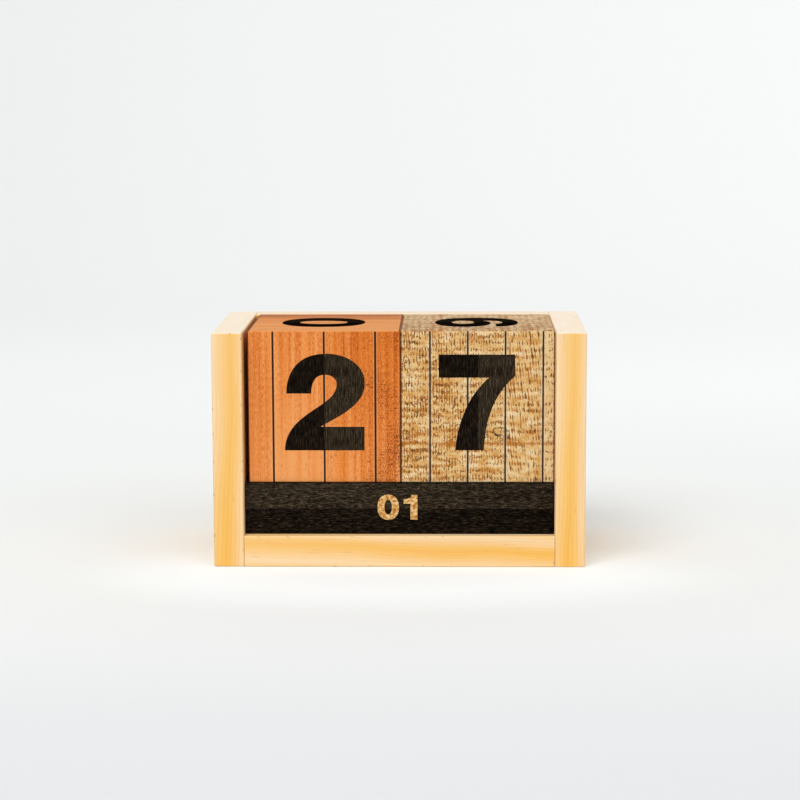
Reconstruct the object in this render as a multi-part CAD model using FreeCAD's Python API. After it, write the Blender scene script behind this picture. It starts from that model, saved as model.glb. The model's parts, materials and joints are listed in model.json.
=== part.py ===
"""Perpetual block calendar: an open pine tray that carries two number cubes on three month bars.

Millimetres. +X to the right, +Y to the back, +Z up. The origin is the centre of the tray's footprint, on the
surface that it stands on.

Two side boards hold the base board and the back panel between them, butted, glued and pinned through their
faces. Three square month bars lie side by side on the base, and the two number cubes stand on them. Nothing
holds the bars or the cubes: a cube lifts out to show another of its faces, and the bars slide out forward.
The bars side by side are as deep as the cubes that stand on them, so the cubes' size sets the bars' section.
"""

import FreeCAD, Part
import os

# Number cubes
CUBE_SIDE = 50.0
CUBE_EDGE_RADIUS = 0.5
CUBE_SETBACK = 1.1          # the cubes stand this much behind the front bar's face
CUBE_LEFT_PLAY = 1.3        # free width between the left side board and the tens cube
CUBE_GAP = 0.1              # between the two cubes
CUBE_RIGHT_PLAY = 0.1       # between the units cube and the right side board

# Month bars, named from the front to the back
BAR_PLACES = ("front", "middle", "rear")
BAR_EDGE_RADIUS = 0.4
BAR_GAP = 0.05              # between one bar and the next
BAR_END_PLAY = 0.2          # at each end of a bar

# Tray boards
SIDE_THICKNESS = 10.0
BASE_THICKNESS = 10.3
BACK_THICKNESS = 10.0
BOARD_CHAMFER = 0.4
FRONT_RECESS = 3.5          # the bars lie this much behind the tray's front edges
REAR_PLAY = 0.2             # between the back panel and the cubes and bars, which reach equally far back
CUBE_RISE = 0.1             # the cubes stand this much above the side boards

# Steel panel pins, driven through the side boards into the ends of the base board and the back panel
PIN_LENGTH = 25.0
PIN_DIAMETER = 1.2
PIN_HEAD_DIAMETER = 1.9
PIN_HEAD_THICKNESS = 0.6
PIN_SINK = 0.3              # a head lies this much below the board's face
BASE_PIN_FROM_END = 14.0    # from the base board's front and back edges
BACK_PIN_ABOVE_BASE = 14.0
BACK_PIN_FROM_TOP = 14.0

# Worked out from the sizes above
LOOSE_DEPTH = CUBE_SETBACK + CUBE_SIDE
BAR_PITCH = (LOOSE_DEPTH + BAR_GAP) / len(BAR_PLACES)
BAR_SIDE = BAR_PITCH - BAR_GAP
INNER_WIDTH = CUBE_LEFT_PLAY + CUBE_SIDE + CUBE_GAP + CUBE_SIDE + CUBE_RIGHT_PLAY
TRAY_WIDTH = SIDE_THICKNESS + INNER_WIDTH + SIDE_THICKNESS
TRAY_DEPTH = FRONT_RECESS + LOOSE_DEPTH + REAR_PLAY + BACK_THICKNESS
CUBE_BOTTOM = BASE_THICKNESS + BAR_SIDE
TRAY_HEIGHT = CUBE_BOTTOM + CUBE_SIDE - CUBE_RISE
OUTER_RIGHT = TRAY_WIDTH / 2
INNER_RIGHT = INNER_WIDTH / 2
INNER_LEFT = -INNER_RIGHT
FRONT = -TRAY_DEPTH / 2
BACK = TRAY_DEPTH / 2
BAR_FRONT = FRONT + FRONT_RECESS


def block(low, size):
    """A plain block from its lowest corner and its size."""
    return Part.makeBox(*size, FreeCAD.Vector(*low))


def runs_along(edge, axes):
    """Whether a block's straight edge runs along one of the named axes."""
    step = edge.Vertexes[1].Point - edge.Vertexes[0].Point
    lengths = {"x": abs(step.x), "y": abs(step.y), "z": abs(step.z)}
    return max(lengths, key=lengths.get) in axes


def planed_board(low, size, axes):
    """A board whose sharp edges along the named axes are broken with a small chamfer."""
    board = block(low, size)
    return board.makeChamfer(BOARD_CHAMFER, [edge for edge in board.Edges if runs_along(edge, axes)])


def base_pin_places():
    """Where the pins enter the ends of the base board, as (side, y, z), with side -1 left and 1 right."""
    rows = (FRONT + BASE_PIN_FROM_END, BACK - BASE_PIN_FROM_END)
    return [(side, y, BASE_THICKNESS / 2) for side in (-1, 1) for y in rows]


def back_pin_places():
    """Where the pins enter the ends of the back panel, as (side, y, z)."""
    heights = (BASE_THICKNESS + BACK_PIN_ABOVE_BASE, TRAY_HEIGHT - BACK_PIN_FROM_TOP)
    return [(side, BACK - BACK_THICKNESS / 2, z) for side in (-1, 1) for z in heights]


def turned_pin(place, mouth=0):
    """A headed pin, turned about its own axis. mouth thickens its head outwards."""
    side, y, z = place
    head_top = OUTER_RIGHT - PIN_SINK
    tip = head_top - PIN_LENGTH
    outline = [
        (tip, 0),
        (tip, PIN_DIAMETER / 2),
        (head_top - PIN_HEAD_THICKNESS, PIN_DIAMETER / 2),
        (head_top - PIN_HEAD_THICKNESS, PIN_HEAD_DIAMETER / 2),
        (head_top + mouth, PIN_HEAD_DIAMETER / 2),
        (head_top + mouth, 0),
        (tip, 0),
    ]
    half_section = Part.Face(Part.makePolygon([FreeCAD.Vector(x, y, z + radius) for x, radius in outline]))
    pin = half_section.revolve(FreeCAD.Vector(0, y, z), FreeCAD.Vector(1, 0, 0), 360)
    if side < 0:
        pin.rotate(FreeCAD.Vector(0, y, z), FreeCAD.Vector(0, 0, 1), 180)
    return pin


def pins(places):
    """The pins at these places, as a group."""
    return Part.makeCompound([turned_pin(place) for place in places])


def drilled(board, places):
    """The board with the holes that the pins at these places fill, each open above the pin's head."""
    return board.cut(Part.makeCompound([turned_pin(place, PIN_SINK) for place in places]))


def side_board(side):
    """A side board with upright grain, which runs the tray's full height and depth."""
    low_x = INNER_RIGHT if side > 0 else INNER_LEFT - SIDE_THICKNESS
    size = (SIDE_THICKNESS, TRAY_DEPTH, TRAY_HEIGHT)
    board = planed_board((low_x, FRONT, 0), size, "xyz")
    return drilled(board, [place for place in base_pin_places() + back_pin_places() if place[0] == side])


def base_board():
    """The base board, butted between the side boards and level with their front, back and lower edges."""
    size = (INNER_WIDTH, TRAY_DEPTH, BASE_THICKNESS)
    board = planed_board((INNER_LEFT, FRONT, 0), size, "x")
    return drilled(board, base_pin_places())


def back_panel():
    """The back panel, which stands on the base board between the side boards."""
    size = (INNER_WIDTH, BACK_THICKNESS, TRAY_HEIGHT - BASE_THICKNESS)
    panel = planed_board((INNER_LEFT, BACK - BACK_THICKNESS, BASE_THICKNESS), size, "x")
    return drilled(panel, back_pin_places())


def number_cube(low_x):
    """A solid number cube with sanded edges, which stands on the month bars. low_x is its left face."""
    cube = block((low_x, BAR_FRONT + CUBE_SETBACK, CUBE_BOTTOM), (CUBE_SIDE, CUBE_SIDE, CUBE_SIDE))
    return cube.makeFillet(CUBE_EDGE_RADIUS, cube.Edges)


def month_bar(index):
    """A square month bar on the base board, counted from the front one, whose face shows the month."""
    low = (INNER_LEFT + BAR_END_PLAY, BAR_FRONT + index * BAR_PITCH, BASE_THICKNESS)
    bar = block(low, (INNER_WIDTH - 2 * BAR_END_PLAY, BAR_SIDE, BAR_SIDE))
    return bar.makeFillet(BAR_EDGE_RADIUS, bar.Edges)


def parts():
    """Every sub-part by its node's name."""
    made = {
        "left_side_board": side_board(-1),
        "right_side_board": side_board(1),
        "base_board": base_board(),
        "back_panel": back_panel(),
        "base_pins": pins(base_pin_places()),
        "back_pins": pins(back_pin_places()),
        "tens_cube": number_cube(INNER_LEFT + CUBE_LEFT_PLAY),
        "units_cube": number_cube(INNER_RIGHT - CUBE_RIGHT_PLAY - CUBE_SIDE),
    }
    for index, place in enumerate(BAR_PLACES):
        made[f"month_bar_{place}"] = month_bar(index)
    return made


os.makedirs("parts", exist_ok=True)
for name, shape in parts().items():
    shape.exportStep(f"parts/{name}.step")
    print(f"{name}: {len(shape.Solids)} solids, {shape.Volume:.1f} mm3, valid {shape.isValid()}")
print(f"tray {TRAY_WIDTH:.2f} x {TRAY_DEPTH:.2f} x {TRAY_HEIGHT:.2f} mm")
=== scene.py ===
"""Perpetual block calendar: two numbered cubes over three month bars, in a pinned pine tray."""

import json
import math
import re

import bmesh
import bpy
from mathutils import Matrix, Vector

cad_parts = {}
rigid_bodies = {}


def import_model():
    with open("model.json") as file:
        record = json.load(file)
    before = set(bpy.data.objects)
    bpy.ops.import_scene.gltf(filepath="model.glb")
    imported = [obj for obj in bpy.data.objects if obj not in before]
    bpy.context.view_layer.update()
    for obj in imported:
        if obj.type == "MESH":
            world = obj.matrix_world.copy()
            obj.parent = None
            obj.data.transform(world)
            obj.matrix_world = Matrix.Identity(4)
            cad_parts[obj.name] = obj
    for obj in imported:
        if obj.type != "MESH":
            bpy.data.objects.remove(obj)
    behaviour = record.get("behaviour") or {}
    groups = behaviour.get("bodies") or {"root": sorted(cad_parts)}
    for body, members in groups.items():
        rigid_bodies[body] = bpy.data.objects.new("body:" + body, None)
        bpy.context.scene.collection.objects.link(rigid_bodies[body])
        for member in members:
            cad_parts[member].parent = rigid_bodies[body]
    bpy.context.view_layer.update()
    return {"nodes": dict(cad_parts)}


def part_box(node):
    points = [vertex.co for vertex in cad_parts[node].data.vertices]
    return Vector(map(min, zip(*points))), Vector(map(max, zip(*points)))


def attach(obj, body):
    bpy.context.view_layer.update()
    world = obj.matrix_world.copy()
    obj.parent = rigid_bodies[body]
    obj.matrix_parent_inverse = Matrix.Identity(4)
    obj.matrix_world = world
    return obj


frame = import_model()
MM = 0.001


# ---------------------------------------------------------------------------
# Camera
# A long lens a good arm's length in front of the calendar, looking slightly
# down on it, so that the numbered fronts show square and the tops show thin.
# ---------------------------------------------------------------------------
CAMERA_PLACE = Vector((17.1, -746.4, 162.1)) * MM
CAMERA_DOWN = math.radians(8.5)
CAMERA_LEFT = math.radians(1.34)
CAMERA_ROLL = math.radians(-0.2)
SENSOR_WIDTH = 36.0
LENS_LENGTH = 100.3

camera_data = bpy.data.cameras.new("camera")
camera_data.sensor_width = SENSOR_WIDTH
camera_data.lens = LENS_LENGTH
camera_data.clip_start = 0.05
camera = bpy.data.objects.new("camera", camera_data)
bpy.context.scene.collection.objects.link(camera)
aim = Matrix.Rotation(CAMERA_LEFT, 4, "Z")
aim @= Matrix.Rotation(math.radians(90) - CAMERA_DOWN, 4, "X")
aim @= Matrix.Rotation(CAMERA_ROLL, 4, "Z")
camera.matrix_world = Matrix.Translation(CAMERA_PLACE) @ aim
bpy.context.scene.camera = camera
bpy.context.scene.view_settings.view_transform = "Standard"


# ---------------------------------------------------------------------------
# Studio
# A pale paper sweep: a floor that curves up into a backdrop. A wide soft key
# lamp stands in front, high and a little to the left, with a weaker fill lamp
# on the right, and a plain pale sky fills the rest.
# ---------------------------------------------------------------------------
SWEEP_WIDTH = 10.0
SWEEP_FRONT = -4.0
SWEEP_BACK = 1.6
SWEEP_RADIUS = 0.9
SWEEP_HEIGHT = 3.0
SWEEP_STEPS = 24
FLOOR_LIFT = 0.04
FLOOR_PAINTED_POOL = 0.16
BACKDROP_LIFT = 0.125
BACKDROP_PAINTED_SLOPE = 0.16
SKY_COLOUR = "FBFDFF"
SKY_STRENGTH = 0.56
SKY_SHOWN = 0.9
HAZE_CENTRE = (0.0, 0.8, 0.0)
HAZE_START = 1.1
HAZE_END = 3.4


def srgb(hex_value):
    """The linear colour of an sRGB hex value."""
    shares = [int(hex_value[i:i + 2], 16) / 255 for i in (0, 2, 4)]
    linear = [s / 12.92 if s <= 0.04045 else ((s + 0.055) / 1.055) ** 2.4 for s in shares]
    return (*linear, 1.0)


def add(tree, kind, inputs=(), stops=None, **settings):
    """Adds a node with its settings. An input is given by its place or its name, and is a plain
    value, an output socket, or a node, whose first output in use is taken. stops are a ramp's. A
    Map Range is given as [value, from least, from most, to least, to most]."""
    made = tree.nodes.new(kind)
    for setting, value in settings.items():
        setattr(made, setting, value)
    given = inputs if isinstance(inputs, dict) else dict(enumerate(inputs))
    for key, value in given.items():
        socket = made.inputs[key] if isinstance(key, int) else next(
            s for s in made.inputs if s.name == key and s.enabled)
        if isinstance(value, bpy.types.Node):
            value = next(s for s in value.outputs if s.enabled)
        if isinstance(value, bpy.types.NodeSocket):
            tree.links.new(value, socket)
        else:
            socket.default_value = value
    if stops:
        ramp = made.color_ramp
        while len(ramp.elements) < len(stops):
            ramp.elements.new(1.0)
        for element, (place, hex_value) in zip(ramp.elements, stops):
            element.position = place
            element.color = srgb(hex_value)
    return made


def empty_material(name):
    """A new material with an empty node tree."""
    material = bpy.data.materials.new(name)
    material.use_nodes = True
    material.node_tree.nodes.clear()
    return material, material.node_tree


def seen_directly(tree):
    """One for what the camera sees, in a mirror or through glass too, and nought for what only
    lights the calendar."""
    path = add(tree, "ShaderNodeLightPath").outputs
    straight, mirror, glass = (path[f"Is {ray} Ray"] for ray in ("Camera", "Glossy", "Transmission"))
    mirrored = add(tree, "ShaderNodeMath", [straight, mirror], operation="MAXIMUM")
    return add(tree, "ShaderNodeMath", [mirrored, glass], operation="MAXIMUM")


# Background paper: matt and even. It takes the calendar's soft shadow, and looks a little paler
# than the light that it throws back: most in a painted pool of light along the calendar's foot, and
# behind it, where the painted light grows towards the right. Its colour is painted darker towards
# the camera, as painted shade.
paper, tree = empty_material("matt_background_paper")
place = add(tree, "ShaderNodeTexCoord").outputs["Object"]
x, y, _ = add(tree, "ShaderNodeSeparateXYZ", [place]).outputs
# Painted shade: the paper's colour grows darker towards the camera.
front = add(tree, "ShaderNodeMapRange", [y, -0.08, -0.28], interpolation_type="SMOOTHSTEP")
sheet = add(tree, "ShaderNodeMix", {"Factor": front, "A": srgb("EDEDEB"), "B": srgb("E0E0E1")},
            data_type="RGBA")
matt = add(tree, "ShaderNodeBsdfDiffuse", {"Color": sheet})
ahead = add(tree, "ShaderNodeMapping", {
    "Vector": place, "Location": (0.0, 0.045, 0.0), "Scale": (0.5, 1.0, 1.0)})
near = add(tree, "ShaderNodeVectorMath", [ahead], operation="LENGTH").outputs["Value"]
# Painted light: a pool of light along the calendar's foot, seen only by the camera.
painted_light_pool = add(tree, "ShaderNodeMapRange", [near, 0.02, 0.06, FLOOR_PAINTED_POOL, 0.0],
           interpolation_type="SMOOTHSTEP")
far = add(tree, "ShaderNodeMapRange", [y, -0.04, 0.45], interpolation_type="SMOOTHSTEP")
# Painted light: the glow behind the calendar grows towards the right.
across = add(tree, "ShaderNodeMath", [x, BACKDROP_PAINTED_SLOPE, BACKDROP_LIFT], operation="MULTIPLY_ADD")
rise = add(tree, "ShaderNodeMath", [far, across, painted_light_pool], operation="MULTIPLY_ADD")
lift = add(tree, "ShaderNodeMath", [rise, FLOOR_LIFT], operation="ADD")
seen = seen_directly(tree)
shown = add(tree, "ShaderNodeMath", [seen, lift], operation="MULTIPLY")
tint = add(tree, "ShaderNodeMix", {"Factor": far, "A": srgb("DCF4FF"), "B": srgb("E4ECF0")},
           data_type="RGBA")
glow = add(tree, "ShaderNodeEmission", {"Color": tint, "Strength": shown})
paper_light = add(tree, "ShaderNodeAddShader", [matt, glow])

# Far out the sheet looks like the sky, so that its end doesn't show.
outward = add(tree, "ShaderNodeVectorMath", [place, HAZE_CENTRE], operation="DISTANCE")
haze = add(tree, "ShaderNodeMapRange", [outward.outputs["Value"], HAZE_START, HAZE_END],
           interpolation_type="SMOOTHSTEP")
hazed = add(tree, "ShaderNodeMath", [seen, haze], operation="MULTIPLY")
sky_look = add(tree, "ShaderNodeEmission", {"Color": srgb(SKY_COLOUR), "Strength": SKY_SHOWN})
sheet_look = add(tree, "ShaderNodeMixShader", [hazed, paper_light, sky_look])
add(tree, "ShaderNodeOutputMaterial", {"Surface": sheet_look})

profile = [(SWEEP_FRONT, 0.0), (SWEEP_BACK - SWEEP_RADIUS, 0.0)]
for step in range(1, SWEEP_STEPS + 1):
    turn = math.pi / 2 * step / SWEEP_STEPS
    back, up = SWEEP_RADIUS * (1 - math.sin(turn)), SWEEP_RADIUS * (1 - math.cos(turn))
    profile.append((SWEEP_BACK - back, up))
profile.append((SWEEP_BACK, SWEEP_HEIGHT))
sweep_mesh = bpy.data.meshes.new("sweep")
corners = [(side * SWEEP_WIDTH / 2, y, z) for y, z in profile for side in (-1, 1)]
strips = [(2 * i, 2 * i + 1, 2 * i + 3, 2 * i + 2) for i in range(len(profile) - 1)]
sweep_mesh.from_pydata(corners, [], strips)
sweep_mesh.shade_smooth()
sweep_mesh.materials.append(paper)
sweep = bpy.data.objects.new("sweep", sweep_mesh)
bpy.context.scene.collection.objects.link(sweep)

world = bpy.data.worlds.new("pale_sky")
world.use_nodes = True
bpy.context.scene.world = world
tree = world.node_tree
tree.nodes.clear()
strength = add(tree, "ShaderNodeMix", {"Factor": seen_directly(tree), "A": SKY_STRENGTH, "B": SKY_SHOWN})
sky = add(tree, "ShaderNodeBackground", {"Color": srgb(SKY_COLOUR), "Strength": strength})
add(tree, "ShaderNodeOutputWorld", {"Surface": sky})

# Each lamp as (name, place, size, power), in metres and watts.
LAMPS = (
    ("key_lamp", Vector((-0.6, -1.6, 2.35)), 1.8, 40.0),
    ("fill_lamp", Vector((1.4, -1.7, 2.2)), 1.8, 12.5),
)
LAMP_AIM = Vector((0.0, 0.0, 0.04))
for name, place, size, power in LAMPS:
    lamp_data = bpy.data.lights.new(name, "AREA")
    lamp_data.shape = "SQUARE"
    lamp_data.size = size
    lamp_data.energy = power
    lamp = bpy.data.objects.new(name, lamp_data)
    bpy.context.scene.collection.objects.link(lamp)
    facing = (place - LAMP_AIM).to_track_quat("Z", "Y").to_matrix().to_4x4()
    lamp.matrix_world = Matrix.Translation(place) @ facing


# ---------------------------------------------------------------------------
# Pine tray: two side boards, the base board and the back panel
# Planed pine strip, 10 mm thick, left without stain and waxed. The side
# boards stand with their grain upright, and the base and the back run across
# between them, held by pins through the side boards.
# ---------------------------------------------------------------------------
RING_WIDTH = 8.6  # of the broad rings, in millimetres
THIN_RINGS = 9  # in each broad one
END_PALENESS = 0.82


def block_group():
    """A node group for a rectangular block. It takes a point in millimetres from the block's centre
    and the block's half sizes. It gives which faces the point is on, how far it is from an edge and
    from an upright edge, and the point laid out flat as (across the grain, along the grain, a
    number of its own for each face)."""
    group = bpy.data.node_groups.new("block_faces", "ShaderNodeTree")
    for socket in ("Point", "Half size"):
        group.interface.new_socket(socket, in_out="INPUT", socket_type="NodeSocketVector")
    for socket, kind in (("Side", "Float"), ("Flat", "Float"), ("Edge", "Float"),
                         ("Corner", "Float"), ("Upright lay", "Vector"), ("Lengthwise lay", "Vector")):
        group.interface.new_socket(socket, in_out="OUTPUT", socket_type="NodeSocket" + kind)
    given = add(group, "NodeGroupInput").outputs
    away = add(group, "ShaderNodeVectorMath", [given["Point"]], operation="ABSOLUTE")
    deep = add(group, "ShaderNodeVectorMath", [away, given["Half size"]], operation="SUBTRACT")
    x, y, z = add(group, "ShaderNodeSeparateXYZ", [deep]).outputs
    higher = add(group, "ShaderNodeMath", [x, y], operation="MAXIMUM")
    lower = add(group, "ShaderNodeMath", [x, y], operation="MINIMUM")
    flat = add(group, "ShaderNodeMath", [z, higher], operation="GREATER_THAN")
    sideways = add(group, "ShaderNodeMath", [x, y], operation="GREATER_THAN")
    standing = add(group, "ShaderNodeMath", [1.0, flat], operation="SUBTRACT")
    side = add(group, "ShaderNodeMath", [sideways, standing], operation="MULTIPLY")
    nearer = add(group, "ShaderNodeMath", [higher, z], operation="MINIMUM")
    second = add(group, "ShaderNodeMath", [nearer, lower], operation="MAXIMUM")
    edge = add(group, "ShaderNodeMath", [second, -1.0], operation="MULTIPLY")
    inward = add(group, "ShaderNodeMix", {"Factor": flat, "A": lower, "B": x}, data_type="FLOAT")
    corner = add(group, "ShaderNodeMath", [inward, -1.0], operation="MULTIPLY")
    px, py, pz = add(group, "ShaderNodeSeparateXYZ", [given["Point"]]).outputs
    level = add(group, "ShaderNodeMix", {"Factor": side, "A": px, "B": py}, data_type="FLOAT")
    depth = add(group, "ShaderNodeMix", {"Factor": side, "A": py, "B": px}, data_type="FLOAT")
    across = add(group, "ShaderNodeMix", {"Factor": flat, "A": level, "B": py}, data_type="FLOAT")
    upright = add(group, "ShaderNodeMix", {"Factor": flat, "A": pz, "B": px}, data_type="FLOAT")
    out = add(group, "ShaderNodeMix", {"Factor": flat, "A": depth, "B": pz}, data_type="FLOAT")
    on_side = add(group, "ShaderNodeMath", [side, 100.0, out], operation="MULTIPLY_ADD")
    own = add(group, "ShaderNodeMath", [flat, 200.0, on_side], operation="MULTIPLY_ADD")
    upright_lay = add(group, "ShaderNodeCombineXYZ", [across, upright, own])
    round_bar = add(group, "ShaderNodeMix", {"Factor": flat, "A": pz, "B": py}, data_type="FLOAT")
    bar_lay = add(group, "ShaderNodeCombineXYZ", [round_bar, level, own])
    add(group, "NodeGroupOutput", [side, flat, edge, corner, upright_lay, bar_lay])
    return group


BLOCK_FACES = block_group()


def on_block(tree, node):
    """Adds the block group for a CAD node. It gives the group and the point in millimetres."""
    low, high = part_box(node)
    place = add(tree, "ShaderNodeTexCoord").outputs["Object"]
    point = add(tree, "ShaderNodeMapping", {
        "Vector": place, "Location": (low + high) / 2, "Scale": (MM,) * 3}, vector_type="TEXTURE")
    block = add(tree, "ShaderNodeGroup", {"Point": point, "Half size": (high - low) / 2 / MM},
                node_tree=BLOCK_FACES)
    return block.outputs, point


def pine(name, node, axes, pith, lean, shift, seed, painted_shade_side=0, top_highlight=0.0, late_wood=0.22, dull_end=-38.0):
    """Waxed planed pine: soft honey bands of summer wood in cream, fine fibres and short resin
    ducts along the grain, pale end grain, its own paler tone with a painted highlight where it faces
    up, and torn fibres at the sawn edges. axes are the board's thickness, width and grain. pith is the
    heart's place across the board, and shift moves the bands, both in millimetres. lean is how far
    they wander in each millimetre. painted_shade_side is 1 or -1 where the board's right or left face,
    inside the tray, takes painted shade in brown. top_highlight is how strongly its top and bottom
    take a painted highlight, late_wood how dark its thin rings are, and dull_end the place of its
    darker end."""
    material, tree = empty_material(name)
    block, point = on_block(tree, node)
    split = add(tree, "ShaderNodeSeparateXYZ", [point]).outputs
    log = add(tree, "ShaderNodeCombineXYZ", [split[axis] for axis in axes])
    along = split[axes[2]]
    ends = block["Flat" if axes[2] == "Z" else "Side"]

    # Rings round the heart, bent by the way the tree grew.
    slow = add(tree, "ShaderNodeMapping", {
        "Vector": log, "Location": (seed, 0, 0), "Scale": (0.05, 0.05, 0.014)})
    growth = add(tree, "ShaderNodeTexNoise", {"Vector": slow, "Scale": 1.0, "Detail": 2.0})
    bend = add(tree, "ShaderNodeMapRange", [growth, 0.0, 1.0, -3.0, 3.0])
    reach = add(tree, "ShaderNodeVectorMath", [log, (*pith, 0)], operation="SUBTRACT")
    level = add(tree, "ShaderNodeVectorMath", [reach, (1, 1, 0)], operation="MULTIPLY")
    radius = add(tree, "ShaderNodeVectorMath", [level], operation="LENGTH").outputs["Value"]
    tilt = add(tree, "ShaderNodeMath", [along, lean, radius], operation="MULTIPLY_ADD")
    bent = add(tree, "ShaderNodeMath", [tilt, bend], operation="ADD")
    moved = add(tree, "ShaderNodeMath", [bent, shift], operation="ADD")
    turns = add(tree, "ShaderNodeMath", [moved, RING_WIDTH], operation="DIVIDE")
    ring = add(tree, "ShaderNodeMath", [turns], operation="FRACT")
    bands = add(tree, "ShaderNodeValToRGB", [ring], stops=[
        (0.0, "FDDEB0"), (0.18, "FCD290"), (0.38, "FCC76A"), (0.53, "FABF55"), (0.68, "FCC86E"),
        (0.84, "FDD498"), (1.0, "FDDEB0")])

    # Towards one end the wood is paler, with less grain in it.
    fade = add(tree, "ShaderNodeMapRange", [along, -dull_end, dull_end, 0.16, 0.0])
    grained = add(tree, "ShaderNodeMath", [fade, -5.0, 1.2], operation="MULTIPLY_ADD")

    # Thin rings about 1 mm apart between the broad ones, each with a darker line of late wood.
    thin = add(tree, "ShaderNodeMath", [turns, THIN_RINGS], operation="MULTIPLY")
    thin_ring = add(tree, "ShaderNodeMath", [thin], operation="FRACT")
    late = add(tree, "ShaderNodeValToRGB", [thin_ring], stops=[
        (0.0, "000000"), (0.45, "000000"), (0.84, "FFFFFF"), (1.0, "000000")])
    late_depth = add(tree, "ShaderNodeMath", [grained, late_wood], operation="MULTIPLY")
    late_share = add(tree, "ShaderNodeMath", [late, late_depth], operation="MULTIPLY")

    # Fibres about half a millimetre wide and a few centimetres long.
    long_way = add(tree, "ShaderNodeMapping", {
        "Vector": log, "Location": (0, seed, 0), "Scale": (1.6, 1.6, 0.035)})
    fibre = add(tree, "ShaderNodeTexNoise", {
        "Vector": long_way, "Scale": 1.0, "Detail": 3.0, "Roughness": 0.6})
    fibre_depth = add(tree, "ShaderNodeMath", [grained, 0.35], operation="MULTIPLY")
    fibre_share = add(tree, "ShaderNodeMapRange", [fibre, 0.35, 0.7, 0.0, fibre_depth])

    # Resin ducts: thin brown dashes 2 to 6 mm long.
    duct_way = add(tree, "ShaderNodeMapping", {
        "Vector": log, "Location": (0, 0, seed), "Scale": (2.4, 2.4, 0.16)})
    duct = add(tree, "ShaderNodeTexNoise", {"Vector": duct_way, "Scale": 1.0, "Detail": 1.0})
    duct_share = add(tree, "ShaderNodeMapRange", [duct, 0.70, 0.82, 0.0, 0.5])

    # End grain is cut across the fibres, so it is paler and duller, and dotted with pores, drawn
    # twice as coarse as they are so that they show. Its paleness on the tops is partly a painted
    # highlight, and the back panel's top and bottom take a painted highlight too.
    pore_way = add(tree, "ShaderNodeMapping", {
        "Vector": log, "Location": (seed, 0, 5), "Scale": (2.4, 2.4, 0.4)})
    pore = add(tree, "ShaderNodeTexNoise", {
        "Vector": pore_way, "Scale": 1.0, "Detail": 2.0, "Roughness": 0.6})
    pore_share = add(tree, "ShaderNodeMapRange", [pore, 0.46, 0.7, 0.0, 0.45])
    cut = add(tree, "ShaderNodeMix", {"Factor": pore_share, "A": srgb("FBF0E0"), "B": srgb("DDBB8C")},
              data_type="RGBA")
    # Painted highlight: the top and bottom faces are painted pale.
    top_highlight_share = add(tree, "ShaderNodeMath", [block["Flat"], top_highlight], operation="MULTIPLY")
    end = add(tree, "ShaderNodeMath", [ends, END_PALENESS], operation="MULTIPLY")
    end_grain_and_highlight = add(tree, "ShaderNodeMath", [top_highlight_share, end], operation="MAXIMUM")

    # Painted shade in brown on the face inside the tray, for the shade of the narrow gap by the blocks.
    # It lies 5 mm from the board's middle.
    inside = add(tree, "ShaderNodeMath", [split["X"], painted_shade_side], operation="MULTIPLY")
    inside_shade_share = add(tree, "ShaderNodeMapRange", [inside, 4.6, 4.95, 0.0, 0.4])

    # Torn fibres: brown nicks along the edges.
    nick_way = add(tree, "ShaderNodeMapping", {
        "Vector": log, "Location": (seed, seed, 0), "Scale": (0.6, 0.6, 0.45)})
    nick = add(tree, "ShaderNodeTexNoise", {"Vector": nick_way, "Scale": 1.0, "Detail": 2.0})
    nicked = add(tree, "ShaderNodeMapRange", [nick, 0.63, 0.71, 0.0, 0.5])
    rim = add(tree, "ShaderNodeMapRange", [block["Edge"], 0.25, 0.7, 1.0, 0.0])
    nick_share = add(tree, "ShaderNodeMath", [nicked, rim], operation="MULTIPLY")

    # Each of these lies over the one before.
    layers = ((fade, srgb("FEEACE")), (late_share, srgb("E6A44E")), (fibre_share, srgb("F3B860")),
              (duct_share, srgb("C08445")), (end_grain_and_highlight, cut), (inside_shade_share, srgb("A06026")),
              (nick_share, srgb("A9743C")))
    colour = bands
    for share, tint in layers:
        colour = add(tree, "ShaderNodeMix", {"Factor": share, "A": colour, "B": tint}, data_type="RGBA")

    relief = add(tree, "ShaderNodeMath", [fibre, nick_share], operation="SUBTRACT")
    bump = add(tree, "ShaderNodeBump", {"Height": relief, "Strength": 0.25, "Distance": 0.08 * MM})
    rough = add(tree, "ShaderNodeMapRange", [fibre, 0.0, 1.0, 0.5, 0.68])
    wood = add(tree, "ShaderNodeBsdfPrincipled", {
        "Base Color": colour, "Roughness": rough, "Normal": bump, "IOR": 1.45, "Specular IOR Level": 0.3})
    add(tree, "ShaderNodeOutputMaterial", {"Surface": wood})
    return material


def dress(node, material):
    """Gives a CAD node its material."""
    for slot in frame["nodes"][node].material_slots:
        slot.material = material


# How each board was cut from its log, and where painted shade or a painted highlight lies on it.
BOARDS = {
    "left_side_board": dict(axes="XYZ", pith=(-46, 4), lean=-0.027, shift=6.1, seed=11, painted_shade_side=1),
    "right_side_board": dict(axes="XYZ", pith=(-46, 4), lean=-0.016, shift=5.7, seed=11.6, painted_shade_side=-1),
    "base_board": dict(axes="ZYX", pith=(-60, 2), lean=0.030, shift=4.0, seed=31, late_wood=0.12,
                       dull_end=50.0),
    "back_panel": dict(axes="YZX", pith=(52, -10), lean=-0.012, shift=1.0, seed=47, top_highlight=0.65),
}
for board, cut in BOARDS.items():
    dress(board, pine("waxed_pine_" + board.split("_")[0], board, **cut))


# ---------------------------------------------------------------------------
# Pins
# Eight panel pins of bright steel wire join the boards. Each is driven
# through a side board, with its small flat head just under the surface.
# ---------------------------------------------------------------------------

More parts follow.
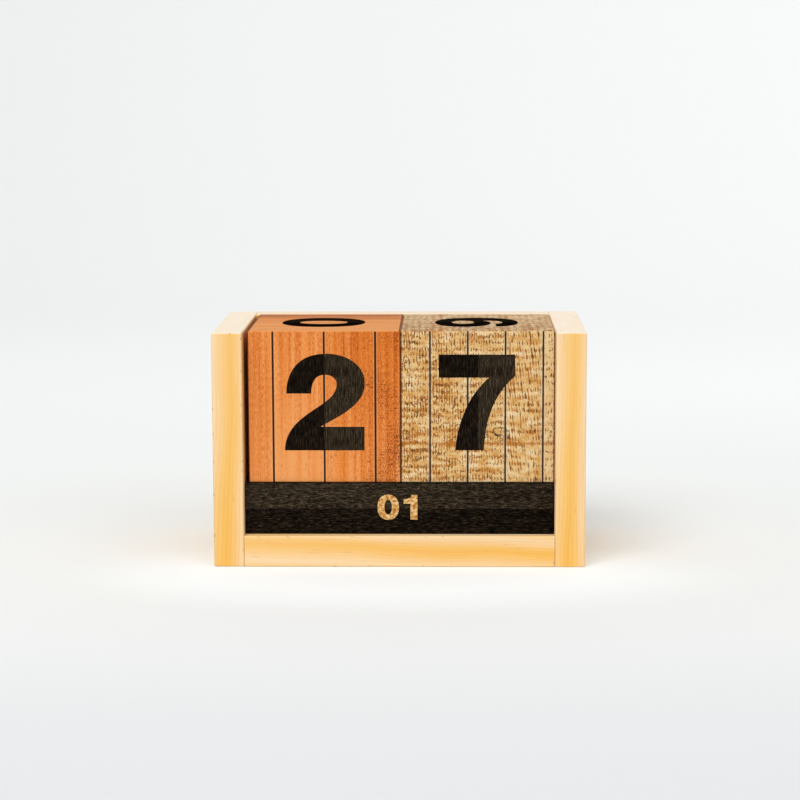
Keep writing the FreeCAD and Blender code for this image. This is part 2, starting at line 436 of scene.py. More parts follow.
# Drawn steel wire: grey metal, with faint marks left by the die.
MARK_WIDTH = 0.2
steel, tree = empty_material("drawn_steel_wire")
place = add(tree, "ShaderNodeTexCoord").outputs["Object"]
marks = add(tree, "ShaderNodeTexNoise", {
    "Vector": place, "Scale": 1 / (MARK_WIDTH * MM), "Detail": 2.0})
shine = add(tree, "ShaderNodeMapRange", [marks, 0.0, 1.0, 0.25, 0.5])
grey = add(tree, "ShaderNodeValToRGB", [marks], stops=[(0.3, "A9A8A5"), (0.7, "CFCDC9")])
metal = add(tree, "ShaderNodeBsdfPrincipled", {"Base Color": grey, "Metallic": 1.0, "Roughness": shine})
add(tree, "ShaderNodeOutputMaterial", {"Surface": metal})
dress("base_pins", steel)
dress("back_pins", steel)


# ---------------------------------------------------------------------------
# Tens cube
# A sanded 50 mm wooden cube with a printed sheet glued on each face. The
# print is of warm orange planks, upright on the standing faces and running
# left to right on the top, with dark joints between them.
# ---------------------------------------------------------------------------
ORANGE_PLANK = 16.7  # millimetres wide


def orange_print(name, node):
    """Matt printed sheet of cedar planks: fine upright streaks, rusty flecks, and joints drawn as
    thin lines that are nearly black."""
    material, tree = empty_material(name)
    block, _ = on_block(tree, node)
    lay = block["Upright lay"]
    across, along, face = add(tree, "ShaderNodeSeparateXYZ", [lay]).outputs

    # Each plank has its own tone, and the planks grow redder across the sheet.
    planks = add(tree, "ShaderNodeMath", [across, ORANGE_PLANK], operation="DIVIDE")
    number = add(tree, "ShaderNodeMath", [planks], operation="FLOOR")
    key = add(tree, "ShaderNodeCombineXYZ", [number, face, 0.0])
    tone = add(tree, "ShaderNodeTexWhiteNoise", {"Vector": key}, noise_dimensions="3D")
    redder = add(tree, "ShaderNodeMapRange", [across, -4.0, 17.0, 0.375, 0.235])
    toned = add(tree, "ShaderNodeMath", [tone, 0.05, redder], operation="MULTIPLY_ADD")
    low_down = add(tree, "ShaderNodeMapRange", [along, -22.0, 4.0, 0.045, 0.0])
    far_down = add(tree, "ShaderNodeMapRange", [across, 4.0, 20.0, 0.02, -0.13])
    top_tone = add(tree, "ShaderNodeMath", [block["Flat"], far_down], operation="MULTIPLY")
    lower = add(tree, "ShaderNodeMath", [toned, low_down], operation="ADD")
    higher = add(tree, "ShaderNodeMath", [lower, top_tone], operation="ADD")

    # The tone also drifts, darker to the upper left of a standing face and the left of the top.
    drift = add(tree, "ShaderNodeMapRange", [block["Flat"], 0.0, 1.0, -0.0016, 0.0022])
    from_middle = add(tree, "ShaderNodeMath", [across, -0.67, along], operation="MULTIPLY_ADD")
    paler = add(tree, "ShaderNodeMath", [from_middle, drift, higher], operation="MULTIPLY_ADD")

    # Streaks 2 mm wide and the grain of the print, 0.4 mm wide, from rust to apricot.
    broad_way = add(tree, "ShaderNodeMapping", {"Vector": lay, "Scale": (0.55, 0.008, 1.0)})
    broad = add(tree, "ShaderNodeTexNoise", {
        "Vector": broad_way, "Scale": 1.0, "Detail": 3.0, "Roughness": 0.55})
    fine_way = add(tree, "ShaderNodeMapping", {"Vector": lay, "Scale": (2.4, 0.7, 1.0)})
    fine = add(tree, "ShaderNodeTexNoise", {
        "Vector": fine_way, "Scale": 1.0, "Detail": 4.0, "Roughness": 0.8})
    swing = add(tree, "ShaderNodeMapRange", [block["Flat"], 0.0, 1.0, 0.6, 1.15])
    centred = add(tree, "ShaderNodeMath", [broad, 0.5], operation="SUBTRACT")
    broader = add(tree, "ShaderNodeMath", [centred, swing, paler], operation="MULTIPLY_ADD")
    shade = add(tree, "ShaderNodeMath", [fine, 0.75, broader], operation="MULTIPLY_ADD")
    wood = add(tree, "ShaderNodeValToRGB", [shade], stops=[
        (0.47, "993A0A"), (0.585, "C5601C"), (0.695, "E07E34"), (0.865, "F2A462")])

    # Yellower streaks 3 mm wide, and a top that has faded all over.
    warm_way = add(tree, "ShaderNodeMapping", {
        "Vector": lay, "Location": (3, 0, 0), "Scale": (0.35, 0.02, 1.0)})
    warm = add(tree, "ShaderNodeTexNoise", {"Vector": warm_way, "Scale": 1.0, "Detail": 2.0})
    warm_share = add(tree, "ShaderNodeMapRange", [warm, 0.45, 0.7, 0.0, 0.45])
    faded = add(tree, "ShaderNodeMath", [block["Flat"], 0.4], operation="MULTIPLY")

    # Rusty flecks, thicker in some patches.
    fleck_way = add(tree, "ShaderNodeMapping", {"Vector": lay, "Scale": (3.0, 1.3, 1.0)})
    fleck = add(tree, "ShaderNodeTexNoise", {
        "Vector": fleck_way, "Scale": 1.0, "Detail": 2.0, "Roughness": 0.7})
    patch_way = add(tree, "ShaderNodeMapping", {"Vector": lay, "Scale": (0.07, 0.05, 1.0)})
    patch = add(tree, "ShaderNodeTexNoise", {"Vector": patch_way, "Scale": 1.0, "Detail": 1.0})
    thick = add(tree, "ShaderNodeMath", [patch, 0.5, fleck], operation="MULTIPLY_ADD")
    thicker = add(tree, "ShaderNodeMath", [thick, redder], operation="SUBTRACT")
    fleck_share = add(tree, "ShaderNodeMapRange", [thicker, 0.56, 0.68, 0.0, 0.7])

    # Short marks of the saw across the redder planks, where the flecks are thick.
    saw_way = add(tree, "ShaderNodeMapping", {
        "Vector": lay, "Location": (0, 9, 0), "Scale": (0.4, 2.2, 1.0)})
    saw = add(tree, "ShaderNodeTexNoise", {
        "Vector": saw_way, "Scale": 1.0, "Detail": 2.0, "Roughness": 0.6})
    sawn = add(tree, "ShaderNodeMath", [thicker, 0.8, saw], operation="MULTIPLY_ADD")
    saw_share = add(tree, "ShaderNodeMapRange", [sawn, 1.03, 1.13, 0.0, 0.75])

    # Joints between the planks, 0.65 mm wide and fainter on the top, with a pale lip each side,
    # and a dark line by the cube's upright corners: the sheet's edge, dark where it is folded round,
    # with painted shade of the gap between the cubes.
    from_joint = add(tree, "ShaderNodeMath", [across, ORANGE_PLANK / 2], operation="PINGPONG")
    lip_share = add(tree, "ShaderNodeMapRange", [from_joint, 0.5, 0.9, 0.35, 0.0])
    joint_share = add(tree, "ShaderNodeMapRange", [from_joint, 0.26, 0.40, 0.98, 0.0])
    fainter = add(tree, "ShaderNodeMapRange", [block["Flat"], 0.0, 1.0, 1.0, 0.4])
    joint = add(tree, "ShaderNodeMath", [joint_share, fainter], operation="MULTIPLY")
    # Painted shade of the gap between the cubes, with the sheet's dark edge, near the upright corners.
    near_corner = add(tree, "ShaderNodeMath", [block["Flat"], -0.25, block["Corner"]],
                      operation="MULTIPLY_ADD")
    wear_and_gap_shade = add(tree, "ShaderNodeMapRange", [near_corner, 0.25, 0.5, 0.9, 0.0])

    layers = ((warm_share, srgb("EB8426")), (faded, srgb("D08A3C")), (fleck_share, srgb("8E3C10")),
              (saw_share, srgb("702A0A")), (lip_share, srgb("F6B478")), (joint, srgb("200503")),
              (wear_and_gap_shade, srgb("36140A")))
    colour = wood
    for share, tint in layers:
        colour = add(tree, "ShaderNodeMix", {"Factor": share, "A": colour, "B": tint}, data_type="RGBA")
    sheet = add(tree, "ShaderNodeBsdfPrincipled", {
        "Base Color": colour, "Roughness": 0.6, "IOR": 1.45, "Specular IOR Level": 0.15})
    add(tree, "ShaderNodeOutputMaterial", {"Surface": sheet})
    return material


dress("tens_cube", orange_print("printed_cedar_planks", "tens_cube"))


# ---------------------------------------------------------------------------
# Units cube
# The same cube with a sheet of pale weathered planks, still rough from the
# saw: flecks of brown stand in bands across narrower planks.
# ---------------------------------------------------------------------------
PALE_PLANK = 12.27  # millimetres wide
PALE_SHIFT = 3.3
SPLIT_PLANK = 1
# Where these lie, in millimetres from the middle of a face.
RUST_BAND = -12.0
KNOT = (8.4, -8.4, 0.0)


def weathered_print(name, node):
    """Matt printed sheet of weathered sawn planks: straw and grey ground, orange and brown saw
    ticks in rows, one rusty band low down, a small knot, and thin dark joints."""
    material, tree = empty_material(name)
    block, _ = on_block(tree, node)
    lay = block["Upright lay"]
    across, along, face = add(tree, "ShaderNodeSeparateXYZ", [lay]).outputs

    # Straw ground with tan patches and a fine mottle, bleached on the last plank.
    ground_way = add(tree, "ShaderNodeMapping", {"Vector": lay, "Scale": (0.16, 0.3, 1.0)})
    ground = add(tree, "ShaderNodeTexNoise", {
        "Vector": ground_way, "Scale": 1.0, "Detail": 5.0, "Roughness": 0.75})
    pale = add(tree, "ShaderNodeValToRGB", [ground], stops=[
        (0.36, "CE9048"), (0.45, "DFB06A"), (0.53, "E9C88C"), (0.62, "F3DBAE")])
    mottle_way = add(tree, "ShaderNodeMapping", {"Vector": lay, "Scale": (2.6, 1.6, 1.0)})
    mottle = add(tree, "ShaderNodeTexNoise", {
        "Vector": mottle_way, "Scale": 1.0, "Detail": 2.0, "Roughness": 0.7})
    mottle_share = add(tree, "ShaderNodeMapRange", [mottle, 0.45, 0.7, 0.0, 0.6])
    bleached = add(tree, "ShaderNodeMapRange", [across, 20.0, 22.5, 0.0, 0.5])
    dusty = add(tree, "ShaderNodeMath", [block["Flat"], 0.3], operation="MULTIPLY")

    # Each plank was sawn at its own slant. One was split, so its ticks are long and lean.
    moved = add(tree, "ShaderNodeMath", [across, PALE_SHIFT], operation="ADD")
    planks = add(tree, "ShaderNodeMath", [moved, PALE_PLANK], operation="DIVIDE")
    number = add(tree, "ShaderNodeMath", [planks], operation="FLOOR")
    split = add(tree, "ShaderNodeMath", [number, SPLIT_PLANK, 0.5], operation="COMPARE")
    lean = add(tree, "ShaderNodeMath", [split, 0.12], operation="MULTIPLY")
    leant = add(tree, "ShaderNodeMath", [along, lean, across], operation="MULTIPLY_ADD")
    tall = add(tree, "ShaderNodeMapRange", [split, 0.0, 1.0, 0.55, 0.2])
    stretched = add(tree, "ShaderNodeMath", [along, tall], operation="MULTIPLY")
    layer = add(tree, "ShaderNodeMath", [number, 7.3, face], operation="MULTIPLY_ADD")
    slant = add(tree, "ShaderNodeCombineXYZ", [leant, stretched, layer])

    # Ticks about 1 mm apart in rows 2 mm high, thick in some rows and thin in others, and a darker
    # one here and there.
    row_way = add(tree, "ShaderNodeMapping", {"Vector": slant, "Scale": (0.13, 0.6, 1.0)})
    row = add(tree, "ShaderNodeTexNoise", {
        "Vector": row_way, "Scale": 1.0, "Detail": 3.0, "Roughness": 0.6})
    comb = add(tree, "ShaderNodeTexWave", {
        "Vector": slant, "Scale": 0.36, "Distortion": 6.0, "Detail": 2.0, "Detail Scale": 0.7},
        bands_direction="X")
    rows = add(tree, "ShaderNodeTexWave", {
        "Vector": lay, "Scale": 0.14, "Distortion": 5.0, "Detail": 2.0, "Detail Scale": 0.6},
        bands_direction="Y")
    tick_way = add(tree, "ShaderNodeMapping", {"Vector": slant, "Scale": (2.0, 1.7, 1.0)})
    tick = add(tree, "ShaderNodeTexNoise", {
        "Vector": tick_way, "Scale": 1.0, "Detail": 2.0, "Roughness": 0.65})
    combed = add(tree, "ShaderNodeMath", [comb.outputs["Fac"], 0.17, tick], operation="MULTIPLY_ADD")
    lined = add(tree, "ShaderNodeMath", [rows.outputs["Fac"], 0.14, combed], operation="MULTIPLY_ADD")
    browner = add(tree, "ShaderNodeMapRange", [across, -25.0, 20.0, 0.06, -0.045])
    browned = add(tree, "ShaderNodeMath", [bleached, -0.15, browner], operation="MULTIPLY_ADD")
    crowded = add(tree, "ShaderNodeMath", [row, 0.75, browned], operation="MULTIPLY_ADD")
    thick = add(tree, "ShaderNodeMath", [lined, crowded], operation="ADD")
    tick_share = add(tree, "ShaderNodeMapRange", [thick, 1.07, 1.13, 0.0, 0.95])
    dark_way = add(tree, "ShaderNodeMapping", {
        "Vector": slant, "Location": (7, 3, 5), "Scale": (1.8, 1.4, 1.0)})
    dark = add(tree, "ShaderNodeTexNoise", {
        "Vector": dark_way, "Scale": 1.0, "Detail": 2.0, "Roughness": 0.65})
    tick_tone = add(tree, "ShaderNodeValToRGB", [dark], stops=[
        (0.42, "C07A32"), (0.5, "A66A30"), (0.6, "80542A")])
    dark_thick = add(tree, "ShaderNodeMath", [lined, 0.4, dark], operation="MULTIPLY_ADD")
    dark_share = add(tree, "ShaderNodeMapRange", [dark_thick, 0.86, 0.93, 0.0, 0.9])

    # A rusty band 1 to 2 mm high where the planks were strapped, broken in places.
    band = add(tree, "ShaderNodeMath", [along, RUST_BAND], operation="SUBTRACT")
    off_band = add(tree, "ShaderNodeMath", [band], operation="ABSOLUTE")
    broken = add(tree, "ShaderNodeMath", [row, mottle], operation="ADD")
    ragged_band = add(tree, "ShaderNodeMath", [broken, -2.6, off_band], operation="MULTIPLY_ADD")
    band_share = add(tree, "ShaderNodeMapRange", [ragged_band, -2.4, -1.7, 0.8, 0.0])

    # A small knot with its own curved, broken rings.
    out = add(tree, "ShaderNodeVectorMath", [lay, KNOT], operation="SUBTRACT")
    round_out = add(tree, "ShaderNodeVectorMath", [out, (0.42, 1.0, 0.0)], operation="MULTIPLY")
    reach = add(tree, "ShaderNodeVectorMath", [round_out], operation="LENGTH").outputs["Value"]
    ragged = add(tree, "ShaderNodeMath", [row, 7.0, reach], operation="MULTIPLY_ADD")
    rings = add(tree, "ShaderNodeMath", [ragged, 1.1], operation="PINGPONG")
    ring_share = add(tree, "ShaderNodeMapRange", [rings, 0.12, 0.3, 0.95, 0.0])
    inside = add(tree, "ShaderNodeMapRange", [reach, 1.6, 3.4, 1.0, 0.0])
    knot_share = add(tree, "ShaderNodeMath", [ring_share, inside], operation="MULTIPLY")

    # Joints 0.6 mm wide, a pale lip each side, and at the corners ragged brown wear with painted gap
    # shade.
    from_joint = add(tree, "ShaderNodeMath", [moved, PALE_PLANK / 2], operation="PINGPONG")
    lip_share = add(tree, "ShaderNodeMapRange", [from_joint, 0.5, 0.9, 0.3, 0.0])
    joint_share = add(tree, "ShaderNodeMapRange", [from_joint, 0.24, 0.37, 0.98, 0.0])
    ragged_edge = add(tree, "ShaderNodeMath", [mottle, -1.6, block["Corner"]], operation="MULTIPLY_ADD")
    wear_and_gap_shade = add(tree, "ShaderNodeMapRange", [ragged_edge, -0.7, -0.4, 0.85, 0.0])

    layers = ((mottle_share, srgb("C8915A")), (bleached, srgb("F8DEA8")), (dusty, srgb("A89F92")),
              (tick_share, tick_tone), (dark_share, srgb("6A3D14")), (band_share, srgb("B0650E")),
              (knot_share, srgb("3E2210")), (lip_share, srgb("F2DDBC")), (joint_share, srgb("2A1606")),
              (wear_and_gap_shade, srgb("5A3010")))
    colour = pale
    for share, tint in layers:
        colour = add(tree, "ShaderNodeMix", {"Factor": share, "A": colour, "B": tint}, data_type="RGBA")
    sheet = add(tree, "ShaderNodeBsdfPrincipled", {
        "Base Color": colour, "Roughness": 0.65, "IOR": 1.45, "Specular IOR Level": 0.15})
    add(tree, "ShaderNodeOutputMaterial", {"Surface": sheet})
    return material


dress("units_cube", weathered_print("printed_weathered_planks", "units_cube"))


# ---------------------------------------------------------------------------
# Month bars
# Three square wooden bars lie under the cubes. Each is wrapped in a printed
# sheet of two black boards and carries a month on each of its long faces.
# ---------------------------------------------------------------------------
BARS = ("month_bar_front", "month_bar_middle", "month_bar_rear")


def black_print(name, node, lay_name, grain_scale, grain_depth, inky_top):
    """Matt printed sheet of black-brown boards: the upper or right half is charcoal and the
    other nearly black, with fine worn streaks along the grain. lay_name is the lay of the grain,
    grain_scale the number of streaks in a millimetre across and along, grain_depth how strongly
    they show, and inky_top how black the top and bottom are printed."""
    material, tree = empty_material(name)
    block, _ = on_block(tree, node)
    lay = block[lay_name]
    across, along, _ = add(tree, "ShaderNodeSeparateXYZ", [lay]).outputs
    grain_way = add(tree, "ShaderNodeMapping", {"Vector": lay, "Scale": (*grain_scale, 1.0)})
    noise = add(tree, "ShaderNodeTexNoise", {
        "Vector": grain_way, "Scale": 1.0, "Detail": 3.0, "Roughness": 0.75})
    right_end = add(tree, "ShaderNodeMapRange", [along, 0.0, 40.0, 0.5, 0.475])
    steady = add(tree, "ShaderNodeMath", [right_end, grain_depth / 2], operation="SUBTRACT")
    grain = add(tree, "ShaderNodeMath", [noise, grain_depth, steady], operation="MULTIPLY_ADD")
    charcoal = add(tree, "ShaderNodeValToRGB", [grain], stops=[
        (0.38, "120D09"), (0.47, "2B2319"), (0.55, "3B3227"), (0.68, "645642")])
    black = add(tree, "ShaderNodeValToRGB", [grain], stops=[
        (0.40, "070504"), (0.50, "18130E"), (0.57, "281F17"), (0.68, "443A2D")])
    half = add(tree, "ShaderNodeMapRange", [across, -0.1, 0.15])
    boards = add(tree, "ShaderNodeMix", {"Factor": half, "A": black, "B": charcoal}, data_type="RGBA")
    inky = add(tree, "ShaderNodeMath", [block["Flat"], inky_top], operation="MULTIPLY")
    colour = add(tree, "ShaderNodeMix", {"Factor": inky, "A": boards, "B": srgb("050302")},
                 data_type="RGBA")
    sheet = add(tree, "ShaderNodeBsdfPrincipled", {
        "Base Color": colour, "Roughness": 0.7, "IOR": 1.45, "Specular IOR Level": 0.0})
    add(tree, "ShaderNodeOutputMaterial", {"Surface": sheet})
    return material


for bar in BARS:
    dress(bar, black_print("printed_black_boards_" + bar.split("_")[-1], bar, "Lengthwise lay",
                           grain_scale=(3.6, 0.6), grain_depth=1.0, inky_top=0.2))


# ---------------------------------------------------------------------------
# Printed numbers
# Heavy plain numerals printed on every face of the cubes, as black boards, and
# on the bars' long faces, as pale worn wood: the months from 01 to 12.
# ---------------------------------------------------------------------------
# All in millimetres: INK is how thick the ink is, NUMERAL_ADVANCE from one numeral to the next.
NUMERAL_HEIGHT = 30.8
NUMERAL_ADVANCE = 27.6
INK = 0.02
CURVE_STEPS = 10


def oval(x, y, across, high, squareness=0.56):
    """A closed outline of four curves round the point x, y."""
    a, b = across * squareness, high * squareness
    return (f"M {x} {y + high} C {x + a} {y + high} {x + across} {y + b} {x + across} {y} "
            f"C {x + across} {y - b} {x + a} {y - high} {x} {y - high} "
            f"C {x - a} {y - high} {x - across} {y - b} {x - across} {y} "
            f"C {x - across} {y + b} {x - a} {y + high} {x} {y + high} ")


# One outline for each numeral, in millimetres on a base line, centred on zero:
# M starts a loop, L goes straight and C goes by a curve with its two handles.
NUMERALS = {
    "0": oval(0, 15.4, 13.2, 15.85, 0.62) + oval(0, 15.4, 4.6, 9.1, 0.62),
    "1": "M 8.4 30.8 L 8.4 0 L -0.2 0 L -0.2 19.8 L -8.6 19.8 L -8.6 25.3 C -3.6 25.4 0.4 27 1.2 30.8 "
         "L 8.4 30.8",
    "2": "M -12.4 18.35 C -12.3 25.6 -8.2 31.15 0.6 31.15 C 8 31.15 13.3 27.3 13.3 21.6 "
         "C 13.3 17 9.8 14.1 5.2 11.2 C 2.6 9.7 0.2 8.5 -1.3 7.6 L 13.1 7.6 L 13.1 -0.05 L -13 -0.05 "
         "C -12.9 5.6 -9.5 8.9 -5 12.05 C -1.2 14.7 4.1 17.2 4.1 21.2 C 4.1 23.1 2.6 24.4 0.2 24.4 "
         "C -2.6 24.4 -4.2 22.3 -4.25 18.35 L -12.4 18.35",
    "3": "M -12.6 21.9 C -12.4 27.8 -7.6 31.2 -0.2 31.2 C 7.4 31.2 12 28 12 22.8 "
         "C 12 19.6 10.2 17.3 7.2 16.3 C 11 15.4 13.2 12.7 13.2 9.2 "
         "C 13.2 3 8 -0.4 -0.2 -0.4 C -8.2 -0.4 -13 3.2 -13.2 9.8 L -4.9 9.8 "
         "C -4.7 7.4 -3 6 -0.2 6 C 2.6 6 4.4 7.3 4.4 9.6 C 4.4 12.2 2.2 13.1 -2.6 13.1 L -2.6 18.6 "
         "C 1.6 18.6 3.6 19.6 3.6 21.9 C 3.6 23.8 2.1 25 -0.2 25 C -2.7 25 -4.2 23.9 -4.5 21.9 "
         "L -12.6 21.9",
    "4": "M 0.8 30.8 L 9.8 30.8 L 9.8 12.4 L 13.4 12.4 L 13.4 5.9 L 9.8 5.9 L 9.8 0 L 1.6 0 L 1.6 5.9 "
         "L -13.4 5.9 L -13.4 12.9 L 0.8 30.8 M 1.6 12.4 L -6.2 12.4 L 1.6 22.4 L 1.6 12.4",
    "5": "M -10.4 30.8 L 11.4 30.8 L 11.4 24.2 L -4.2 24.2 L -4.9 19.6 C -3.4 20.6 -1.6 21.1 0.8 21.1 "
         "C 8.2 21.1 13.2 17 13.2 10.6 C 13.2 3.8 7.8 -0.4 -0.3 -0.4 "
         "C -8 -0.4 -13 2.9 -13.3 8.8 L -4.8 8.8 "
         "C -4.5 6.8 -2.8 5.7 -0.4 5.7 C 2.7 5.7 4.7 7.5 4.7 10.4 C 4.7 13.2 2.8 15 -0.1 15 "
         "C -2.1 15 -3.7 14.3 -4.8 13 L -12.9 13.6 L -10.4 30.8",
    "6": "M 12.4 22.6 L 4.3 22.6 C 4 24.3 2.6 25.2 0.4 25.2 C -3 25.2 -4.9 22.5 -5 17.6 "
         "C -3.4 19.6 -0.9 20.8 2.2 20.8 "
         "C 8.8 20.8 13.2 16.7 13.2 10.3 C 13.2 3.9 7.9 -0.4 0.2 -0.4 C -8.8 -0.4 -13.3 5 -13.3 15 "
         "C -13.3 25.6 -8.6 31.2 0.3 31.2 C 7.4 31.2 12 28.2 12.4 22.6 " + oval(0, 10.25, 4.7, 4.25),
    "7": "M -12.7 30.85 L 12.1 30.85 L 12.1 23.95 C 5.6 18.6 2.3 10.2 2 0 L -7.4 0 "
         "C -6.6 9.6 -2.6 18.2 3.6 23.45 L -12.7 23.45 L -12.7 30.85",
    "8": "M 0 31.2 C 7.6 31.2 12.2 28.1 12.2 22.9 C 12.2 19.7 10.5 17.4 7.4 16.3 "
         "C 11.2 15.2 13.3 12.6 13.3 9 C 13.3 3.1 8.2 -0.4 0 -0.4 "
         "C -8.2 -0.4 -13.3 3.1 -13.3 9 C -13.3 12.6 -11.2 15.2 -7.4 16.3 "
         "C -10.5 17.4 -12.2 19.7 -12.2 22.9 C -12.2 28.1 -7.6 31.2 0 31.2 "
         + oval(0, 22.3, 4.2, 3.3) + oval(0, 9.5, 4.8, 4.0),
}


def loops(path):
    """Reads an outline into closed loops of [point, handle before, handle after]. A handle is
    None where the outline goes straight."""
    found = []
    for text in path.split("M")[1:]:
        loop = []
        for step, numbers in re.findall(r"([LC]?)([-.\d\s]+)", text):
            values = [float(v) for v in numbers.split()]
            pairs = [Vector((x, y, 0)) for x, y in zip(values[::2], values[1::2])]
            if step == "C":
                loop[-1][2] = pairs[0]
            loop.append([pairs[-1], pairs[1] if step == "C" else None, None])
        loop[0][1] = loop.pop()[1]
        found.append(loop)
    return found


def numeral_mesh(name, path, turned):
    """A thin closed solid of ink in the outline's shape, centred on the numeral's middle."""
    curve = bpy.data.curves.new(name, "CURVE")
    curve.dimensions = "2D"
    curve.fill_mode = "BOTH"
    curve.resolution_u = CURVE_STEPS
    curve.extrude = INK * MM / 2
    middle = Vector((0, NUMERAL_HEIGHT / 2, 0))
    sense = -1 if turned else 1
    for loop in loops(path):
        spline = curve.splines.new("BEZIER")
        spline.bezier_points.add(len(loop) - 1)
        spline.use_cyclic_u = True
        for knot, (point, before, after) in zip(spline.bezier_points, loop):
            knot.co = (point - middle) * MM * sense
            knot.handle_left_type = "VECTOR" if before is None else "FREE"
            knot.handle_right_type = "VECTOR" if after is None else "FREE"
            knot.handle_left = ((before or point) - middle) * MM * sense
            knot.handle_right = ((after or point) - middle) * MM * sense
    shape = bpy.data.objects.new(name, curve)
    mesh = bpy.data.meshes.new_from_object(shape)
    bpy.data.objects.remove(shape)
    work = bmesh.new()
    work.from_mesh(mesh)
    bmesh.ops.remove_doubles(work, verts=work.verts, dist=INK * MM / 20)
    bmesh.ops.recalc_face_normals(work, faces=work.faces)
    work.to_mesh(mesh)
    work.free()
    return mesh


# A 9 is the 6 turned round.
numeral_set = bpy.data.collections.new("numerals")
for numeral in "0123456789":
    turned = numeral == "9"
    mesh = numeral_mesh("numeral_" + numeral, NUMERALS["6" if turned else numeral], turned)
    numeral_set.objects.link(bpy.data.objects.new("numeral_" + numeral, mesh))


def printing_tree():
    """Geometry nodes that print a numeral at each point. A point's numeral says which, its turn
    says how it lies, and its stretch widens or heightens it."""
    group = bpy.data.node_groups.new("printed_numbers", "GeometryNodeTree")
    for socket, kind in (("Points", "Geometry"), ("Numerals", "Collection"), ("Height", "Float"),
                         ("Print", "Material")):
        group.interface.new_socket(socket, in_out="INPUT", socket_type="NodeSocket" + kind)
    group.interface.new_socket("Numbers", in_out="OUTPUT", socket_type="NodeSocketGeometry")
    given = add(group, "NodeGroupInput").outputs
    choice = add(group, "GeometryNodeCollectionInfo", {
        "Collection": given["Numerals"], "Separate Children": True, "Reset Children": True})
    which = add(group, "GeometryNodeInputNamedAttribute", {"Name": "numeral"}, data_type="INT")
    turn = add(group, "GeometryNodeInputNamedAttribute", {"Name": "turn"}, data_type="FLOAT_VECTOR")
    stretch = add(group, "GeometryNodeInputNamedAttribute", {"Name": "stretch"}, data_type="FLOAT_VECTOR")
    rotation = add(group, "FunctionNodeEulerToRotation", [turn])
    scale = add(group, "ShaderNodeMath", [given["Height"], NUMERAL_HEIGHT * MM], operation="DIVIDE")
    flat_scale = add(group, "ShaderNodeCombineXYZ", [scale, scale, 1.0])
    size = add(group, "ShaderNodeVectorMath", [stretch, flat_scale], operation="MULTIPLY")
    placed = add(group, "GeometryNodeInstanceOnPoints", {
        "Points": given["Points"], "Instance": choice, "Pick Instance": True, "Instance Index": which,
        "Rotation": rotation, "Scale": size})
    real = add(group, "GeometryNodeRealizeInstances", [placed])
    done = add(group, "GeometryNodeSetMaterial", {"Geometry": real, "Material": given["Print"]})
    add(group, "NodeGroupOutput", [done])
    return group


PRINTING = printing_tree()


def print_numbers(name, body, height, prints, material):
    """Prints numerals on a body. prints holds a (numeral, middle, right, up, stretch) for each, in
    metres from the frame's origin."""
    cloud = bpy.data.meshes.new(name + "_points")
    cloud.from_pydata([middle for _, middle, _, _, _ in prints], [], [])
    for attribute, kind in (("numeral", "INT"), ("turn", "FLOAT_VECTOR"), ("stretch", "FLOAT_VECTOR")):
        cloud.attributes.new(attribute, kind, "POINT")
    for i, (numeral, _, right, up, stretch) in enumerate(prints):
        facing = Matrix((right, up, right.cross(up))).transposed()
        cloud.attributes["numeral"].data[i].value = int(numeral)
        cloud.attributes["turn"].data[i].vector = facing.to_euler()
        cloud.attributes["stretch"].data[i].vector = stretch
    points = bpy.data.objects.new(name + "_points", cloud)
    bpy.context.scene.collection.objects.link(points)
    modifier = points.modifiers.new("printing", "NODES")
    modifier.node_group = PRINTING
    values = {"Numerals": numeral_set, "Height": height * MM, "Print": material}
    for item in PRINTING.interface.items_tree:
        if item.in_out == "INPUT" and item.name in values:
            modifier[item.identifier] = values[item.name]
    live = points.evaluated_get(bpy.context.evaluated_depsgraph_get())
    mesh = bpy.data.meshes.new_from_object(live)
    bpy.data.objects.remove(points)
    mesh.name = name
    piece = bpy.data.objects.new(name, mesh)
    bpy.context.scene.collection.objects.link(piece)
    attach(piece, body)


def on_face(node, right, up, rise):
    """The middle of a print on a node's face. right and up lie along the face, and the print
    stands rise millimetres up from the face's middle."""
    low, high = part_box(node)
    half = (high - low) / 2
    out = right.cross(up)
    reach = Vector(abs(out[i]) * half[i] for i in range(3)).length + INK * MM / 2
    return (low + high) / 2 + out * reach + up * rise * MM


LEFT, RIGHT = Vector((-1, 0, 0)), Vector((1, 0, 0))
FRONT, BACK = Vector((0, -1, 0)), Vector((0, 1, 0))
DOWN, UP = Vector((0, 0, -1)), Vector((0, 0, 1))

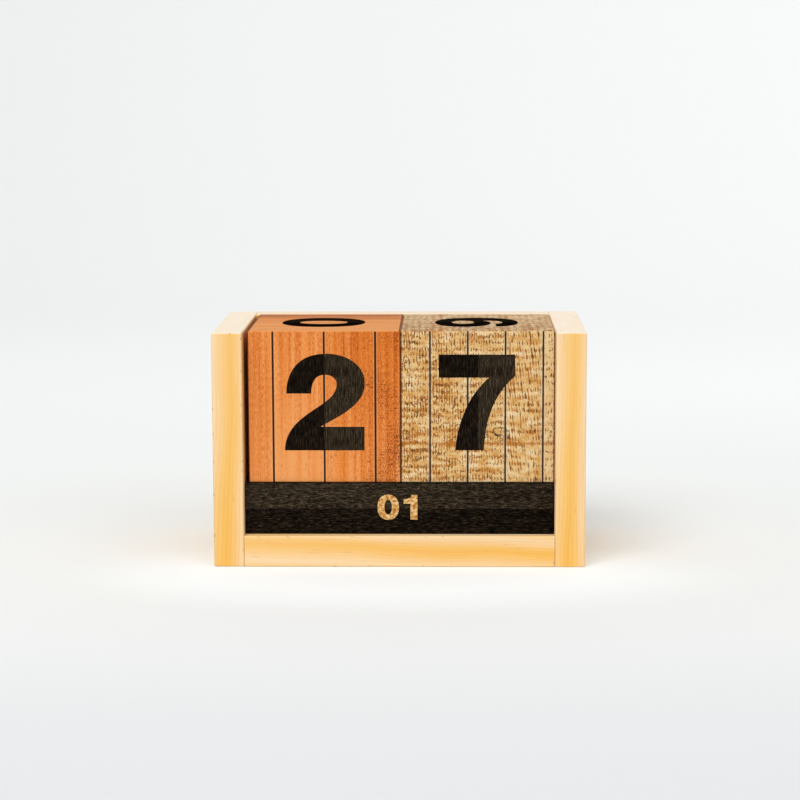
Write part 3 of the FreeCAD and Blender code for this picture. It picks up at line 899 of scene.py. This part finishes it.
# A cube's faces as (right, up), in the order of its numerals. The numerals stand a little above
# the middle, and those of the top and bottom are printed squat and astray.
CUBE_FACES = ((RIGHT, UP), (LEFT, UP), (FRONT, UP), (BACK, UP), (FRONT, RIGHT), (BACK, RIGHT))
CUBE_NUMERALS = {"tens_cube": "241305", "units_cube": "780162"}
CUBE_NUMERAL_LIFT = 1.5
STANDING_STRETCH = (1.0, 1.022, 1.0)
LYING_STRETCH = (1.0, 0.88, 1.0)
ASTRAY = {"tens_cube": -1.3, "units_cube": -0.2}
for cube, numerals in CUBE_NUMERALS.items():
    prints = []
    for numeral, (right, up) in zip(numerals, CUBE_FACES):
        standing = up == UP
        place = on_face(cube, right, up, CUBE_NUMERAL_LIFT if standing else ASTRAY[cube])
        prints.append((numeral, place, right, up, STANDING_STRETCH if standing else LYING_STRETCH))
    ink = black_print("printed_black_numerals_" + cube.split("_")[0], cube, "Upright lay",
                      grain_scale=(2.6, 0.3), grain_depth=0.75, inky_top=0.7)
    print_numbers(cube + "_numerals", cube, NUMERAL_HEIGHT, prints, ink)

# A bar's long faces as (right, up): each number stands upright once the bar is rolled to it.
BAR_FACES = ((RIGHT, UP), (RIGHT, BACK), (RIGHT, DOWN), (RIGHT, FRONT))
MONTH_HEIGHT = 8.2
MONTH_LIFT = 0.5
MONTH_STRETCH = (1.0, 1.0, 1.0)

# Matt print of pale worn wood inside the month numbers: straw with ochre and rust blotches about
# 1 mm wide.
month_print, tree = empty_material("printed_pale_wood")
place = add(tree, "ShaderNodeTexCoord").outputs["Object"]
millimetres = add(tree, "ShaderNodeMapping", {"Vector": place, "Scale": (1 / MM,) * 3})
blotch = add(tree, "ShaderNodeTexNoise", {
    "Vector": millimetres, "Scale": 0.9, "Detail": 3.0, "Roughness": 0.6})
straw = add(tree, "ShaderNodeValToRGB", [blotch], stops=[
    (0.36, "A45E22"), (0.46, "C98E42"), (0.55, "E2BA7A"), (0.68, "F4DCAE")])
sheet = add(tree, "ShaderNodeBsdfPrincipled", {
    "Base Color": straw, "Roughness": 0.6, "IOR": 1.45, "Specular IOR Level": 0.25})
add(tree, "ShaderNodeOutputMaterial", {"Surface": sheet})

month = 0
for bar in BARS:
    prints = []
    for right, up in BAR_FACES:
        month += 1
        step = right * (NUMERAL_ADVANCE * MONTH_HEIGHT / NUMERAL_HEIGHT * MM / 2)
        place = on_face(bar, right, up, MONTH_LIFT)
        tens, units = f"{month:02d}"
        prints.append((tens, place - step, right, up, MONTH_STRETCH))
        prints.append((units, place + step, right, up, MONTH_STRETCH))
    print_numbers(bar + "_numbers", bar, MONTH_HEIGHT, prints, month_print)

for shape in list(numeral_set.objects):
    bpy.data.objects.remove(shape)
bpy.data.collections.remove(numeral_set)
